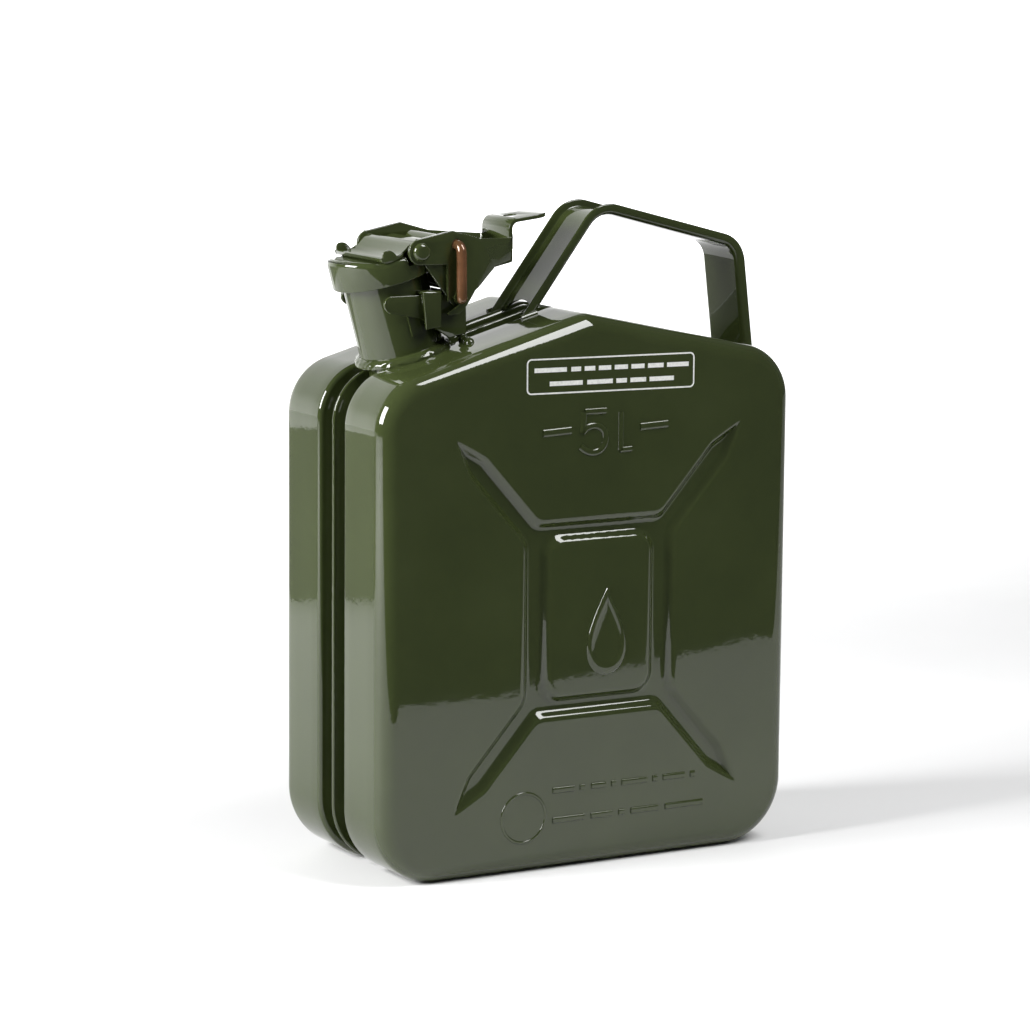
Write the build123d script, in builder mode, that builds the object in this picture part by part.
"""Pressed-steel jerry can of 5 litres with a hinged lever cap.

The can is two pressed half shells welded along a recessed seam.  A tilted filler neck carries a
bracket and a hinge pin.  A yoke swings on that pin and holds the cap.  A locking lever turns on
the pin across the top of the cap, and its hooked cheeks catch the ends of the hinge pin.
Frame: X along the width (spout side is -X), front panel faces -Y, Z up, origin under the middle.
"""
from build123d import *
from math import atan2, cos, degrees, radians, sin, tan
import os

# ---------------------------------------------------------------- can body
body_width = 232.0
body_depth = 106.0
ridge_x = -2.0
ridge_z = 273.5
left_slope = 15.6           # fall of the neck side, degrees
right_slope = 12.1          # fall of the handle side, degrees
base_radius = 33.0
shoulder_radius = 28.0
ridge_radius = 14.0
sheet = 1.0
front_radius = 9.0          # rounding between a panel and the side wall
channel_half = 12.5         # half width of the recessed seam channel
channel_depth = 9.0
lip_radius = 2.5
fin_inset = 1.5             # welded flanges stop this far inside the outline
bead_inset = 0.7            # the weld bead on them stops here

# pressed cross on both panels
cross_x = 4.5
cross_z = 125.0
groove_depth = 3.5
ring_outer = (87.0, 98.6)
ring_inner = (55.6, 74.4)
ring_corner = 9.0
arm_start = (34.0, 40.0)
arm_end = (80.0, 90.4)
arm_half = 6.5
arm_point = 12.0

# ---------------------------------------------------------------- neck and bracket
neck_x = -77.0
neck_radius = 20.6
neck_wall = 1.2
neck_below = 12.0
neck_top = 41.2
mouth_depth = 21.2          # the mouth is this deep, then the bore steps in by mouth_step
mouth_step = 0.6
rim_radius = 22.6
rim_height = 2.2
weld_size = 3.0
pipe_radius = 3.0           # breather pipe
pipe_wall = 0.6

# ---------------------------------------------------------------- hinge stack, distances from Y = 0
ear_in, ear_out = 21.3, 23.1
arm_in, arm_out = 23.4, 25.0
cheek_in, cheek_out = 25.5, 27.5
hinge_x, hinge_z = -60.5, 282.0
lever_x, lever_z = -82.0, 304.4
hinge_pin_radius = 2.0
lever_pin_radius = 3.0
running = 0.05              # radial clearance of a pin in its hole

# ---------------------------------------------------------------- cap, heights along the neck
cap_radius = 25.2
cap_sheet = 1.0
skirt_low = 39.5
cap_top = 51.0
cap_edge = 2.5
toe_start, toe_rise = -9.9, 4.8     # the cap's front climbs from here to this much above its top
trough = (2.5, 15.7)        # pressed trough across the cap under the lever pin
trough_floor = 46.2
seat_low, seat_high = 43.9, 45.1
gasket_in, gasket_out = 17.5, 23.8
sleeve_radius = 4.8
plate_sheet = 1.2
yoke_back = 27.8            # outer face of the yoke's back wall, across the neck
yoke_sheet = 1.6
yoke_low, yoke_wide, yoke_high = 25.2, 31.0, 43.8

# ---------------------------------------------------------------- lever
lever_sheet = 2.0
lever_fold_x = -50.5        # the cheeks turn inwards from here
rear_x, rear_half = -23.8, 15.3
tab_half = 13.6
tab_tip_x, tab_tip_z = -2.3, 319.6
tab_tilt = 6.5              # rise of the thumb tab towards its tip, degrees
tab_bend = 5.5
tab_corner = 7.5
tab_hole_x, tab_hole_radius = -17.6, 3.2
guide_x, guide_z = -62.5, 307.2
wire_radius = 2.5
guide_radius = 3.4
wire_out = 32.0             # the hanging leg of the wire runs this far from the middle

# ---------------------------------------------------------------- handle
handle_half = 16.0
handle_sheet = 1.5
flange_width = 5.4
left_weld_x, right_weld_turn = -16.0, 27.0      # the right weld lies this many degrees up the shoulder
foot_weld_length = 9.0
handle_left_bend = 18.0
handle_right_bend = 16.0

slope = radians(left_slope)
half_width = body_width / 2
left_z = ridge_z - (ridge_x + half_width) * tan(slope)
right_z = ridge_z - (half_width - ridge_x) * tan(radians(right_slope))
neck_z = ridge_z - (ridge_x - neck_x) * tan(slope)
neck_axis = Vector(-sin(slope), 0, cos(slope))
neck_across = Vector(cos(slope), 0, sin(slope))
neck_foot = Vector(neck_x, 0, neck_z)


def upright(y):
    """Drawing plane with X right and Z up at depth y; a positive extrude goes towards -Y."""
    return Plane(origin=(0, y, 0), x_dir=(1, 0, 0), z_dir=(0, -1, 0))


def neck_plane(height):
    """Plane square to the neck's axis at this height above the sloping top."""
    return Plane(origin=neck_foot + neck_axis * height, x_dir=neck_across, z_dir=neck_axis)


def neck_side(y):
    """Plane through the neck's axis direction: first value across the neck, second along it."""
    return Plane(origin=neck_foot + Vector(0, y, 0), x_dir=neck_across, z_dir=(0, -1, 0))


def on_neck(x, z):
    """Place in neck_side coordinates of a point given by X and Z."""
    away = Vector(x, 0, z) - neck_foot
    return away.dot(neck_across), away.dot(neck_axis)


lever_e, lever_w = on_neck(lever_x, lever_z)
hinge_e, hinge_w = on_neck(hinge_x, hinge_z)


def can_outline(inset=0.0):
    """Front outline of the can, drawn inwards by inset."""
    with BuildSketch() as outline:
        with BuildLine():
            Polyline((-half_width, 0), (half_width, 0), (half_width, right_z),
                     (ridge_x, ridge_z), (-half_width, left_z), close=True)
        make_face()
        fillet(outline.vertices().group_by(Axis.Y)[0], base_radius)
        fillet(outline.vertices().sort_by(Axis.Y)[-1], ridge_radius)
        sharp = [v for v in outline.vertices()
                 if abs(abs(v.X) - half_width) < 1e-6 and v.Y > ridge_z / 2]
        fillet(sharp, shoulder_radius)
        if inset:
            offset(amount=-inset)
    return outline.sketch


def cross_groove(grow=0.0):
    """Outline of the pressed groove: a ring round a plateau and four pointed arms."""
    with BuildSketch() as groove:
        with Locations((cross_x, cross_z)):
            RectangleRounded(ring_outer[0] + 2 * grow, ring_outer[1] + 2 * grow, ring_corner)
            RectangleRounded(ring_inner[0] - 2 * grow, ring_inner[1] - 2 * grow,
                             ring_corner - 2, mode=Mode.SUBTRACT)
        start = Vector(*arm_start)
        end = Vector(*arm_end)
        along = (end - start).normalized()
        side = Vector(-along.Y, along.X) * (arm_half + grow)
        neck_of_arm = end - along * arm_point
        tip = end + along * grow
        corners = [start + side, neck_of_arm + side, tip, neck_of_arm - side, start - side]
        for sx in (-1, 1):
            for sz in (-1, 1):
                with BuildLine():
                    Polyline([(cross_x + sx * c.X, cross_z + sz * c.Y) for c in corners], close=True)
                make_face()
    return groove.sketch


outline_full = can_outline()
outline_skin = can_outline(sheet)
outline_floor = can_outline(channel_depth)
outline_floor_in = can_outline(channel_depth + sheet)
outline_fin = can_outline(fin_inset)
outline_bead = can_outline(bead_inset)
groove_face = cross_groove()
groove_face_in = cross_groove(sheet)

with BuildPart() as neck_space:
    with BuildSketch(neck_plane(-neck_below - 10)):
        Circle(neck_radius + running)
    extrude(amount=neck_below + 30)


with BuildPart() as neck_space_tall:
    with BuildSketch(neck_plane(0)):
        Circle(neck_radius + running)
    extrude(amount=neck_top)


def half_can(side):
    """One pressed half: side is -1 for the front half and +1 for the back half."""
    grow = -side
    half_depth = body_depth / 2
    with BuildPart() as hollow:
        with BuildSketch(upright(side * (channel_half + sheet))):
            add(outline_skin)
        extrude(amount=grow * (half_depth - channel_half - 2 * sheet))
        outer_face = hollow.faces().sort_by(Axis.Y)[0 if side < 0 else -1]
        fillet(outer_face.edges(), front_radius - sheet)
        with BuildSketch(upright(side * (half_depth - sheet))):
            add(groove_face_in)
        extrude(amount=-grow * groove_depth, mode=Mode.SUBTRACT)
        with BuildSketch(upright(0)):
            add(outline_floor_in)
        extrude(amount=grow * (channel_half + sheet))
    with BuildPart() as shell:
        with BuildSketch(upright(side * channel_half)):
            add(outline_full)
        extrude(amount=grow * (half_depth - channel_half))
        outer_face = shell.faces().sort_by(Axis.Y)[0 if side < 0 else -1]
        lip_face = shell.faces().sort_by(Axis.Y)[-1 if side < 0 else 0]
        fillet(outer_face.edges(), front_radius)
        fillet(lip_face.edges(), lip_radius)
        with BuildSketch(upright(side * half_depth)):
            add(groove_face)
        extrude(amount=-grow * groove_depth, mode=Mode.SUBTRACT)
        with BuildSketch(upright(0)):
            add(outline_floor)
        extrude(amount=grow * channel_half)
        with BuildSketch(upright(0)):
            add(outline_fin)
        extrude(amount=grow * sheet)
        add(hollow.part, mode=Mode.SUBTRACT)
        add(neck_space.part, mode=Mode.SUBTRACT)
    return shell


front_shell = half_can(-1)
back_shell = half_can(1)

with BuildPart() as seam_weld:
    with BuildSketch(upright(sheet)):
        add(outline_bead)
        add(outline_fin, mode=Mode.SUBTRACT)
    extrude(amount=2 * sheet)
    add(neck_space.part, mode=Mode.SUBTRACT)

# ---------------------------------------------------------------- neck
with BuildPart() as neck_tube:
    with BuildSketch(neck_plane(-neck_below)):
        Circle(neck_radius)
        Circle(neck_radius - neck_wall - mouth_step, mode=Mode.SUBTRACT)
    extrude(amount=neck_below + neck_top)
    with BuildSketch(neck_plane(neck_top - mouth_depth)):
        Circle(neck_radius - neck_wall)
    extrude(amount=mouth_depth, mode=Mode.SUBTRACT)

with BuildPart() as neck_rim:
    with BuildSketch(neck_plane(neck_top - rim_height)):
        Circle(rim_radius)
        Circle(neck_radius, mode=Mode.SUBTRACT)
    extrude(amount=rim_height)
    fillet(neck_rim.edges().filter_by(GeomType.CIRCLE).group_by(SortBy.RADIUS)[-1], 1.0)

with BuildPart() as neck_weld:
    with BuildSketch(neck_side(0)):
        with BuildLine():
            Polyline((neck_radius, 0.02), (neck_radius + weld_size, 0.02), (neck_radius, weld_size),
                     close=True)
        make_face()
    revolve(axis=Axis(neck_foot, neck_axis), revolution_arc=360)

# lump of weld where the seam meets the neck on the handle side
with BuildPart() as seam_end_weld:
    with BuildSketch(neck_plane(-0.6)):
        with Locations((24.4, 0)):
            RectangleRounded(6.4, 12.0, 3.0)
    extrude(amount=3.6)
    fillet(seam_end_weld.faces().sort_by(Axis((0, 0, 0), neck_axis))[-1].edges(), 1.6)
    add(neck_weld.part, mode=Mode.SUBTRACT)

# air pipe from the middle of the neck to the space under the ridge
pipe_e = neck_radius - neck_wall - mouth_step - pipe_radius - 0.3
pipe_start = neck_foot + neck_across * pipe_e + neck_axis * 18
pipe_turn = neck_foot + neck_across * pipe_e - neck_axis * 22
pipe_end = Vector(-20, 0, 247)
with BuildPart() as breather_tube:
    with BuildLine() as pipe_route:
        FilletPolyline(pipe_start, pipe_turn, pipe_end, radius=12)
    with BuildSketch(Plane(origin=pipe_start, z_dir=pipe_route.line % 0)):
        Circle(pipe_radius)
        Circle(pipe_radius - pipe_wall, mode=Mode.SUBTRACT)
    sweep()

# U-shaped bracket: two ear plates beside the neck, joined behind it
with BuildPart() as neck_bracket:
    for y in (-ear_in, ear_out):
        with BuildSketch(upright(y)):
            with BuildLine():
                Polyline((-95, 283.3), (-66, 283.3), (-60.5, 287.2), (-55, 284), (-54.5, 264),
                         (-64, 262), (-80, 272), (-96.5, 275.4), close=True)
            make_face()
            with Locations((-95.2, 279.3)):
                Circle(4.0)
            with Locations((hinge_x, hinge_z)):
                Circle(5.5)
                Circle(hinge_pin_radius, mode=Mode.SUBTRACT)
        extrude(amount=ear_out - ear_in)
    with BuildSketch(neck_plane(5)):
        with Locations((neck_radius + 1.3, 0)):
            Rectangle(1.8, 2 * ear_in)
    extrude(amount=12)

# strips of weld between the bracket's ears and the neck
with BuildPart() as bracket_welds:
    with BuildSketch(neck_plane(12)):
        with Locations((0, -ear_in + 0.7), (0, ear_in - 0.7)):
            Rectangle(6, 1.4)
        Circle(neck_radius, mode=Mode.SUBTRACT)
    extrude(amount=18)


def catch_plate(side):
    """Hook plate beside the neck: an upright strap whose top is bent in and welded to the neck."""
    near = 25.4
    far = 27.0
    top = 285.4
    left, right, low = -80.5, -70.5, 267.0
    with BuildPart() as plate:
        with BuildSketch(upright(far if side > 0 else -near)):
            with BuildLine():
                Polyline((left, top), (right, top), (right, low + 1), (left + 2, low), close=True)
            make_face()
        extrude(amount=far - near)
        with BuildSketch(Plane.XY.offset(top - 1.6)):
            with Locations(((left + right) / 2, side * (near + 14) / 2)):
                Rectangle(right - left, near - 14)
        extrude(amount=1.6)
        top_edges = plate.edges().filter_by(Axis.X).group_by(Axis.Z)[-1]
        fillet(top_edges.sort_by(Axis.Y)[0 if side < 0 else -1], 1.2)
        add(neck_space_tall.part, mode=Mode.SUBTRACT)
    return plate


catch_plate_left = catch_plate(-1)
catch_plate_right = catch_plate(1)

# ---------------------------------------------------------------- hinge pin, fixed in the bracket
with BuildPart() as hinge_pin:
    with BuildSketch(upright(cheek_out + 0.35)):
        with Locations((hinge_x, hinge_z)):
            Circle(hinge_pin_radius)
    extrude(amount=2 * (cheek_out + 0.35))
    for y in (cheek_out + 1.4, -cheek_out - 0.3):
        with BuildSketch(upright(y)):
            with Locations((hinge_x, hinge_z)):
                Circle(3.6)
        extrude(amount=1.1)

# ---------------------------------------------------------------- cap assembly
with BuildPart() as hinge_yoke:
    for y in (-arm_in, arm_out):
        with BuildSketch(neck_side(y)):
            with BuildLine():
                Polyline((lever_e + 0.5, trough_floor + 0.2), (hinge_e - 4.9, hinge_w),
                         (hinge_e + 4.9, hinge_w + 0.6), (yoke_back, yoke_high), (24.3, 46.6),
                         (21, 51), (lever_e, 55.4), close=True)
            make_face()
            with Locations((lever_e, lever_w), (hinge_e, hinge_w)):
                Circle(sleeve_radius)
            with Locations((lever_e, lever_w)):
                Circle(lever_pin_radius, mode=Mode.SUBTRACT)
            with Locations((hinge_e, hinge_w)):
                Circle(hinge_pin_radius + running, mode=Mode.SUBTRACT)
        extrude(amount=arm_out - arm_in)
    with BuildSketch(neck_plane(cap_top + 0.1)):
        with Locations((18.25, 0)):
            Rectangle(6.5, 2 * arm_in)
    extrude(amount=1.6)
    # back wall behind the cap's skirt; its lower part passes between the bracket's ears
    for low, high, half in ((yoke_low, yoke_wide, ear_in - 0.4), (yoke_wide, yoke_high, arm_in)):
        with BuildSketch(neck_plane(low)):
            with Locations((yoke_back - yoke_sheet / 2, 0)):
                Rectangle(yoke_sheet, 2 * half)
        extrude(amount=high - low)

def under_cap_top(drop, low):
    """Side region of the cap's front, below its climbing top less this drop and above this height."""
    rim = -cap_radius - 3
    climb = toe_rise / (cap_radius + toe_start)
    with BuildSketch() as region:
        with BuildLine():
            Polyline((toe_start, low), (toe_start, cap_top - drop),
                     (rim, cap_top - drop + climb * (toe_start - rim)), (rim, low), close=True)
        make_face()
    return region.sketch


with BuildPart() as toe_outer:
    with BuildSketch(neck_side(30)):
        add(under_cap_top(0, skirt_low))
    extrude(amount=60)
    with BuildSketch(neck_plane(skirt_low)):
        Circle(cap_radius)
    extrude(amount=40, mode=Mode.INTERSECT)

with BuildPart() as toe_space:
    with BuildSketch(neck_side(30)):
        add(under_cap_top(cap_sheet, trough_floor))
    extrude(amount=60)
    with BuildSketch(neck_plane(skirt_low)):
        Circle(cap_radius - cap_sheet)
    extrude(amount=40, mode=Mode.INTERSECT)

with BuildPart() as cap_shell:
    with BuildSketch(neck_plane(skirt_low)):
        Circle(cap_radius)
    extrude(amount=cap_top - skirt_low)
    add(toe_outer)
    rim_edges = [e for e in cap_shell.edges() if (e.center() - neck_foot).dot(neck_axis) > cap_top - 0.1
                 and e.geom_type != GeomType.LINE]
    fillet(rim_edges, cap_edge)
    with BuildSketch(neck_plane(trough_floor)):
        with Locations(((trough[0] + trough[1]) / 2, 0)):
            Rectangle(trough[1] - trough[0], 2 * cap_radius + 4)
    extrude(amount=10, mode=Mode.SUBTRACT)
    with BuildSketch(neck_plane(skirt_low)):
        Circle(cap_radius - cap_sheet)
    extrude(amount=trough_floor - cap_sheet - skirt_low, mode=Mode.SUBTRACT)
    with BuildSketch(neck_plane(trough_floor - cap_sheet)):
        Circle(cap_radius - cap_sheet)
        with Locations(((trough[0] + trough[1]) / 2, 0)):
            Rectangle(trough[1] - trough[0] + 2 * cap_sheet, 2 * cap_radius + 4, mode=Mode.SUBTRACT)
    extrude(amount=cap_top - trough_floor, mode=Mode.SUBTRACT)
    add(toe_space, mode=Mode.SUBTRACT)

with BuildPart() as cap_inner_disc:
    with BuildSketch(neck_plane(seat_low)):
        Circle(cap_radius - cap_sheet - 0.1)
        Circle(2.5, mode=Mode.SUBTRACT)
    extrude(amount=seat_high - seat_low)

with BuildPart() as cap_gasket:
    with BuildSketch(neck_plane(neck_top + 0.1)):
        Circle(gasket_out)
        Circle(gasket_in, mode=Mode.SUBTRACT)
    extrude(amount=seat_low - neck_top - 0.1)

with BuildPart() as gasket_retainer:
    with BuildSketch(neck_plane(seat_low - 1.7)):
        Circle(gasket_in - 0.2)
        Circle(2.5, mode=Mode.SUBTRACT)
    extrude(amount=1.7)

with BuildPart() as retainer_rivet:
    with BuildSketch(neck_plane(seat_low - 1.7)):
        Circle(2.5)
    extrude(amount=seat_high - seat_low + 1.7)
    with BuildSketch(neck_plane(seat_low - 2.5)):
        Circle(4.5)
    extrude(amount=0.8)

# plate welded on the cap, rolled round the lever pin, with a turned-up ear at each front corner
plate_tip = (-8.5, cap_top + 0.05 + plate_sheet)
reach = (Vector(lever_e, lever_w) - Vector(*plate_tip))
rise = atan2(reach.Y, reach.X) + atan2(sleeve_radius, (reach.length ** 2 - sleeve_radius ** 2) ** 0.5)
touch = (lever_e - sleeve_radius * sin(rise), lever_w + sleeve_radius * cos(rise))
under = (plate_sheet * sin(rise), -plate_sheet * cos(rise))
plate_half = 24.5
ear_sheet = 1.2
with BuildPart() as cap_hinge_plate:
    with BuildSketch(neck_side(arm_in - 0.3)):
        with BuildLine():
            Polyline(plate_tip, touch, (touch[0] + under[0], touch[1] + under[1]),
                     (plate_tip[0] + under[0], plate_tip[1] + under[1]), close=True)
        make_face()
        with Locations((lever_e, lever_w)):
            Circle(sleeve_radius)
            Circle(lever_pin_radius + running, mode=Mode.SUBTRACT)
    extrude(amount=2 * (arm_in - 0.3))
    with BuildSketch(neck_side(plate_half)):
        with BuildLine():
            Polyline((-9.8, cap_top + 0.05), (1.5, cap_top + 0.05), (3.8, 54.9), (-8.5, 52.3),
                     (-9.8, 52.0), close=True)
        make_face()
    extrude(amount=2 * plate_half)
    for y in (plate_half, -plate_half + ear_sheet):
        with BuildSketch(neck_side(y)):
            with BuildLine():
                Polyline((-9.8, 51.2), (-3.5, 51.2), (-3.5, 55.6), (-5.2, 57.0), (-8.4, 57.0),
                         (-9.8, 55.4), close=True)
            make_face()
        extrude(amount=ear_sheet)

with BuildPart() as lever_pin:
    with BuildSketch(upright(cheek_out + 0.1)):
        with Locations((lever_x, lever_z)):
            Circle(lever_pin_radius)
    extrude(amount=2 * (cheek_out + 0.1))
    for y in (cheek_out + 2.7, -cheek_out - 0.1):
        with BuildSketch(upright(y)):
            with Locations((lever_x, lever_z)):
                Circle(4.5)
        extrude(amount=2.6)
    fillet(lever_pin.edges().filter_by(GeomType.CIRCLE).sort_by(Axis.Y)[0], 2.3)
    fillet(lever_pin.edges().filter_by(GeomType.CIRCLE).sort_by(Axis.Y)[-1], 2.3)

with BuildPart() as pivot_washers:
    for y in (-arm_out - 0.03, cheek_in - 0.03):
        with BuildSketch(upright(y)):
            with Locations((lever_x, lever_z)):
                Circle(5.4)
                Circle(lever_pin_radius + running, mode=Mode.SUBTRACT)
        extrude(amount=cheek_in - arm_out - 0.06)

# ---------------------------------------------------------------- locking lever
hook_radius = ((hinge_x - lever_x) ** 2 + (hinge_z - lever_z) ** 2) ** 0.5
hook_angle = degrees(atan2(hinge_z - lever_z, hinge_x - lever_x))
hook_gap = hinge_pin_radius + 0.3
hook_sweep = 30.0


def cheek_profile():
    """Side of the lever with its pin hole and the curved hook slot."""
    with BuildSketch() as cheek:
        with BuildLine():
            Polyline((-84, 310.4), (-64.8, 314.1), (-49.3, 309.7), (rear_x, 308), (rear_x, 296.5),
                     (-38.2, 294.9), (-51.9, 285), (-56.5, 278), (-60.5, 273.8), (-67, 273.4),
                     (-67.6, 297.9), (-81.4, 298.1), close=True)
        make_face()
        with Locations((lever_x, lever_z)):
            Circle(6.3)
            Circle(lever_pin_radius + running, mode=Mode.SUBTRACT)
        with Locations((hinge_x, hinge_z)):
            Circle(hook_gap, mode=Mode.SUBTRACT)
        rim = []
        for radius in (hook_radius - hook_gap, hook_radius + hook_gap):
            for turn in (0, -hook_sweep / 2, -hook_sweep):
                angle = radians(hook_angle + turn)
                rim.append((lever_x + radius * cos(angle), lever_z + radius * sin(angle)))
        with BuildLine():
            ThreePointArc(rim[0], rim[1], rim[2])
            Line(rim[2], rim[5])
            ThreePointArc(rim[5], rim[4], rim[3])
            Line(rim[3], rim[0])
        make_face(mode=Mode.SUBTRACT)
    return cheek.sketch


cheek_face = cheek_profile()
tilt = radians(tab_tilt)
tab_root_z = tab_tip_z - (tab_tip_x - rear_x + lever_sheet) * tan(tilt)
tab_under = (tab_tip_x + lever_sheet * sin(tilt), tab_tip_z - lever_sheet * cos(tilt))
tab_crook_z = tab_under[1] - (tab_under[0] - rear_x) * tan(tilt)
tab_normal = Vector(-sin(tilt), 0, cos(tilt))
tab_hole = Vector(tab_hole_x, 0, tab_tip_z - (tab_tip_x - tab_hole_x) * tan(tilt))

with BuildPart() as thumb_tab:
    with BuildSketch(upright(tab_half)):
        with BuildLine():
            FilletPolyline((rear_x - lever_sheet, 303), (rear_x - lever_sheet, tab_root_z),
                           (tab_tip_x, tab_tip_z), radius=tab_bend)
            Line((tab_tip_x, tab_tip_z), tab_under)
            FilletPolyline(tab_under, (rear_x, tab_crook_z), (rear_x, 303),
                           radius=tab_bend - lever_sheet)
            Line((rear_x, 303), (rear_x - lever_sheet, 303))
        make_face()
    extrude(amount=2 * tab_half)
    with BuildSketch(Plane.XY.offset(300)):
        with BuildLine():
            Polyline((rear_x - 4, -tab_half), (tab_tip_x, -tab_half), (tab_tip_x, tab_half),
                     (rear_x - 4, tab_half), close=True)
        make_face()
        fillet([v for v in vertices() if v.X > rear_x], tab_corner)
    extrude(amount=24, mode=Mode.INTERSECT)
    with BuildSketch(Plane(origin=tab_hole - tab_normal * 4, x_dir=(0, 1, 0), z_dir=tab_normal)):
        Circle(tab_hole_radius)
    extrude(amount=8, mode=Mode.SUBTRACT)

with BuildPart() as locking_lever:
    with BuildSketch(Plane.XY.offset(268)):
        with BuildLine():
            Polyline((-95, -cheek_out), (lever_fold_x, -cheek_out), (rear_x, -rear_half),
                     (rear_x, rear_half), (lever_fold_x, cheek_out), (-95, cheek_out), close=True)
        make_face()
        fillet([v for v in vertices() if v.X > rear_x - 1], 4.5)
        offset(amount=-lever_sheet, kind=Kind.INTERSECTION, mode=Mode.SUBTRACT)
    extrude(amount=50)
    with BuildSketch(upright(cheek_out + 1)):
        add(cheek_face)
    extrude(amount=2 * cheek_out + 2, mode=Mode.INTERSECT)
    add(thumb_tab)
    with BuildSketch(upright(-cheek_in + 1)):
        with Locations((guide_x, guide_z)):
            Circle(wire_radius + 0.1)
    extrude(amount=4, mode=Mode.SUBTRACT)

with BuildPart() as pin_guide_tube:
    with BuildSketch(upright(18)):
        with Locations((guide_x, guide_z)):
            Circle(guide_radius)
            Circle(wire_radius + 0.1, mode=Mode.SUBTRACT)
    extrude(amount=18 + cheek_in)

# bent wire: one leg in the guide tube, the other hanging outside the near cheek
wire_in = Vector(guide_x, 12, guide_z)
wire_bend = Vector(guide_x, -wire_out, guide_z)
wire_low = Vector(-62, -wire_out, 279)
with BuildPart() as safety_pin:
    with BuildLine() as wire_route:
        FilletPolyline(wire_in, wire_bend, wire_low, radius=wire_radius + 1.4)
    with BuildSketch(Plane(origin=wire_in, z_dir=wire_route.line % 0)):
        Circle(wire_radius)
    sweep()

# ---------------------------------------------------------------- carrying handle
def handle_arch(inset=0.0):
    """Side outline of the handle's outer face, closed well inside the can."""
    with BuildSketch() as arch:
        with BuildLine():
            Polyline((-71.7, 200), (22.9, 325.4), (108.7, 302.9), (115.9, 244.5), (115.9, 200),
                     close=True)
        make_face()
        fillet(arch.vertices().sort_by(Axis.Y)[-1], handle_left_bend)
        right = [v for v in arch.vertices() if abs(v.X - 108.7) < 1e-3 and abs(v.Y - 302.9) < 1e-3]
        fillet(right, handle_right_bend)
        if inset:
            offset(amount=-inset)
    return arch.sketch


arch_out = handle_arch()
arch_floor = handle_arch(flange_width - handle_sheet)
arch_in = handle_arch(flange_width)
with BuildPart() as handle:
    with BuildSketch(upright(handle_half)):
        add(arch_out)
        add(arch_in, mode=Mode.SUBTRACT)
        add(outline_full, mode=Mode.SUBTRACT)
    extrude(amount=2 * handle_half)
    with BuildSketch(upright(handle_half - handle_sheet)):
        add(arch_out)
        add(arch_floor, mode=Mode.SUBTRACT)
    extrude(amount=2 * (handle_half - handle_sheet), mode=Mode.SUBTRACT)
    with BuildSketch(Plane.YZ.offset(-40)):
        with Locations((0, 270.7)):
            Ellipse(11, 5)
    extrude(amount=50, mode=Mode.SUBTRACT)


def foot_bead(x, z, fall, length, side):
    """Plane at the start of a weld along a flange of the handle; it falls by this angle."""
    along = Vector(cos(radians(fall)), 0, sin(radians(fall)))
    start = Vector(x, side * (handle_half + 0.3), z) - along * (length / 2)
    return Plane(origin=start, z_dir=along)


shoulder_x = half_width - shoulder_radius
shoulder_z = right_z + shoulder_radius * (tan(radians(right_slope)) - 1 / cos(radians(right_slope)))
left_foot = (left_weld_x, ridge_z + (left_weld_x - ridge_x) * tan(radians(left_slope)), left_slope)
right_foot = (shoulder_x + shoulder_radius * cos(radians(right_weld_turn)),
              shoulder_z + shoulder_radius * sin(radians(right_weld_turn)), right_weld_turn - 90)
with BuildPart() as handle_welds:
    for side in (-1, 1):
        for x, z, fall in (left_foot, right_foot):
            with BuildSketch(foot_bead(x, z, fall, foot_weld_length, side)):
                Circle(1.7)
            extrude(amount=foot_weld_length)
    with BuildSketch(upright(handle_half + 4)):
        add(outline_full)
    extrude(amount=2 * handle_half + 8, mode=Mode.SUBTRACT)
    with BuildSketch(upright(handle_half)):
        Rectangle(4 * body_width, 4 * ridge_z)
    extrude(amount=2 * handle_half, mode=Mode.SUBTRACT)

# ---------------------------------------------------------------- export
pieces = {
    "front_shell": front_shell, "back_shell": back_shell, "seam_weld": seam_weld,
    "seam_end_weld": seam_end_weld, "neck_tube": neck_tube, "neck_rim": neck_rim,
    "neck_weld": neck_weld, "breather_tube": breather_tube, "neck_bracket": neck_bracket,
    "bracket_welds": bracket_welds, "catch_plate_left": catch_plate_left,
    "catch_plate_right": catch_plate_right, "hinge_pin": hinge_pin, "hinge_yoke": hinge_yoke,
    "cap_shell": cap_shell, "cap_inner_disc": cap_inner_disc, "cap_gasket": cap_gasket,
    "gasket_retainer": gasket_retainer, "retainer_rivet": retainer_rivet,
    "cap_hinge_plate": cap_hinge_plate, "lever_pin": lever_pin, "pivot_washers": pivot_washers,
    "locking_lever": locking_lever, "pin_guide_tube": pin_guide_tube, "safety_pin": safety_pin,
    "handle": handle, "handle_welds": handle_welds,
}
os.makedirs("parts", exist_ok=True)
for name, piece in pieces.items():
    piece.part.label = name
    export_step(piece.part, f"parts/{name}.step")
    print(f"{name:20s} {piece.part.volume:10.1f} mm3  {len(piece.part.solids())} solid(s)")
